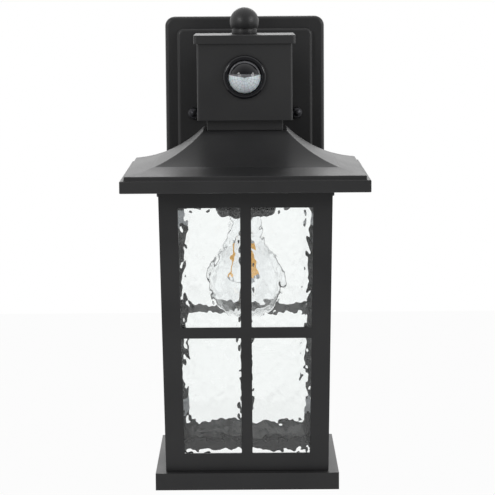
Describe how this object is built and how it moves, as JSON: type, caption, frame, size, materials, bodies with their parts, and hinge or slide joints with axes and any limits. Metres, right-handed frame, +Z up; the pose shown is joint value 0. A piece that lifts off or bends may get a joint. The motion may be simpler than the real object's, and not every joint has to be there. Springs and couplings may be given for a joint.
{
  "type": "outdoor wall lantern",
  "caption": "Square four-sided wall lantern with a curved hipped roof, rippled glass, a motion-sensor box above the roof and an arm to a rectangular wall plate.",
  "frame": {"origin": "on the wall, at the back of the wall plate's gasket, midway between the two mounting studs", "axes": "+Z up, +Y into the wall, -Y out of the wall towards the lantern's front, +X along the wall to the right as one faces the lantern"},
  "size_m": [0.18, 0.215, 0.3525],
  "materials": {
    "black_powder_coat": "satin black powder coat with a fine texture",
    "black_hardware": "black plated screws and nuts",
    "zinc_steel": "zinc plated",
    "green_screw": "green earth screw",
    "brass": "plain brass",
    "rippled_glass": "clear glass with a vertical ripple",
    "bulb_glass": "clear thin glass",
    "bulb_metal": "rolled screw cap",
    "light_stick": "yellow phosphor sticks",
    "gloss_black_plastic": "moulded, glossy",
    "milky_plastic": "milky lens with fine facets",
    "black_plastic": "moulded, matt",
    "cream_plastic": "moulded",
    "black_rubber": "soft rubber",
    "circuit_board": "green solder mask",
    "blue_plastic": "moulded",
    "lead_insulation": "insulated leads"
  },
  "bodies": {
    "lantern": {"wall_plate": "black_powder_coat", "wall_gasket": "black_rubber", "cross_bar": "zinc_steel", "mounting_studs": "zinc_steel", "stud_lock_nuts": "zinc_steel", "ground_screw": "green_screw", "terminal_block": "cream_plastic", "cap_nuts": "black_hardware", "cap_nut_washers": "black_rubber", "arm_tube": "black_powder_coat", "arm_plate_screws": "zinc_steel", "arm_box_screws": "zinc_steel", "lead_grommets": "black_rubber", "sensor_box": "black_powder_coat", "lid_strap": "zinc_steel", "lid_bolt": "zinc_steel", "lid_seal": "black_rubber", "sensor_bezel": "gloss_black_plastic", "sensor_lens": "milky_plastic", "sensor_hood": "gloss_black_plastic", "sensor_ring_nut": "black_plastic", "heat_sensor": "zinc_steel", "sensor_board": "circuit_board", "board_relay": "blue_plastic", "board_capacitor": "black_plastic", "dial_pots": "blue_plastic", "neck_collar": "black_powder_coat", "roof": "black_powder_coat", "hanger_plate": "black_powder_coat", "cage_screws": "black_hardware", "socket_bracket": "zinc_steel", "bracket_screws": "zinc_steel", "nipple": "brass", "nipple_nuts": "brass", "lampholder": "gloss_black_plastic", "lampholder_shell": "brass", "lampholder_contact": "brass", "lamp_leads": "lead_insulation", "supply_leads": "lead_insulation", "front_frame": "black_powder_coat", "rear_frame": "black_powder_coat", "left_frame": "black_powder_coat", "right_frame": "black_powder_coat", "front_glass": "rippled_glass", "rear_glass": "rippled_glass", "left_glass": "rippled_glass", "right_glass": "rippled_glass", "corner_posts": "black_powder_coat", "glass_clips": "zinc_steel", "base_tray": "black_powder_coat", "base_screws": "black_hardware"},
    "bulb": {"bulb_cap": "bulb_metal", "bulb_contact": "gloss_black_plastic", "bulb_glass": "bulb_glass", "bulb_filament_mount": "light_stick"},
    "lid": {"box_lid": "black_powder_coat"},
    "finial": {"finial": "black_powder_coat"},
    "time_dial": {"time_dial": "black_plastic"},
    "light_dial": {"light_dial": "black_plastic"}
  },
  "joints": [
    {"name": "bulb_withdraw", "type": "slide", "parent": "lantern", "child": "bulb", "axis": [0, 0, 1], "range_m": [-0.24, 0]},
    {"name": "lid_lift", "type": "slide", "parent": "lantern", "child": "lid", "axis": [0, 0, 1], "range_m": [0, 0.05]},
    {"name": "finial_turn", "type": "hinge", "parent": "lid", "child": "finial", "pos_m": [0, -0.125, 0.0723], "axis": [0, 0, 1], "continuous": true},
    {"name": "time_dial_turn", "type": "hinge", "parent": "lantern", "child": "time_dial", "pos_m": [-0.027, -0.09, 0.0333], "axis": [0, 1, 0], "range_deg": [-135, 135]},
    {"name": "light_dial_turn", "type": "hinge", "parent": "lantern", "child": "light_dial", "pos_m": [0.027, -0.09, 0.0333], "axis": [0, 1, 0], "range_deg": [-135, 135]}
  ]
}
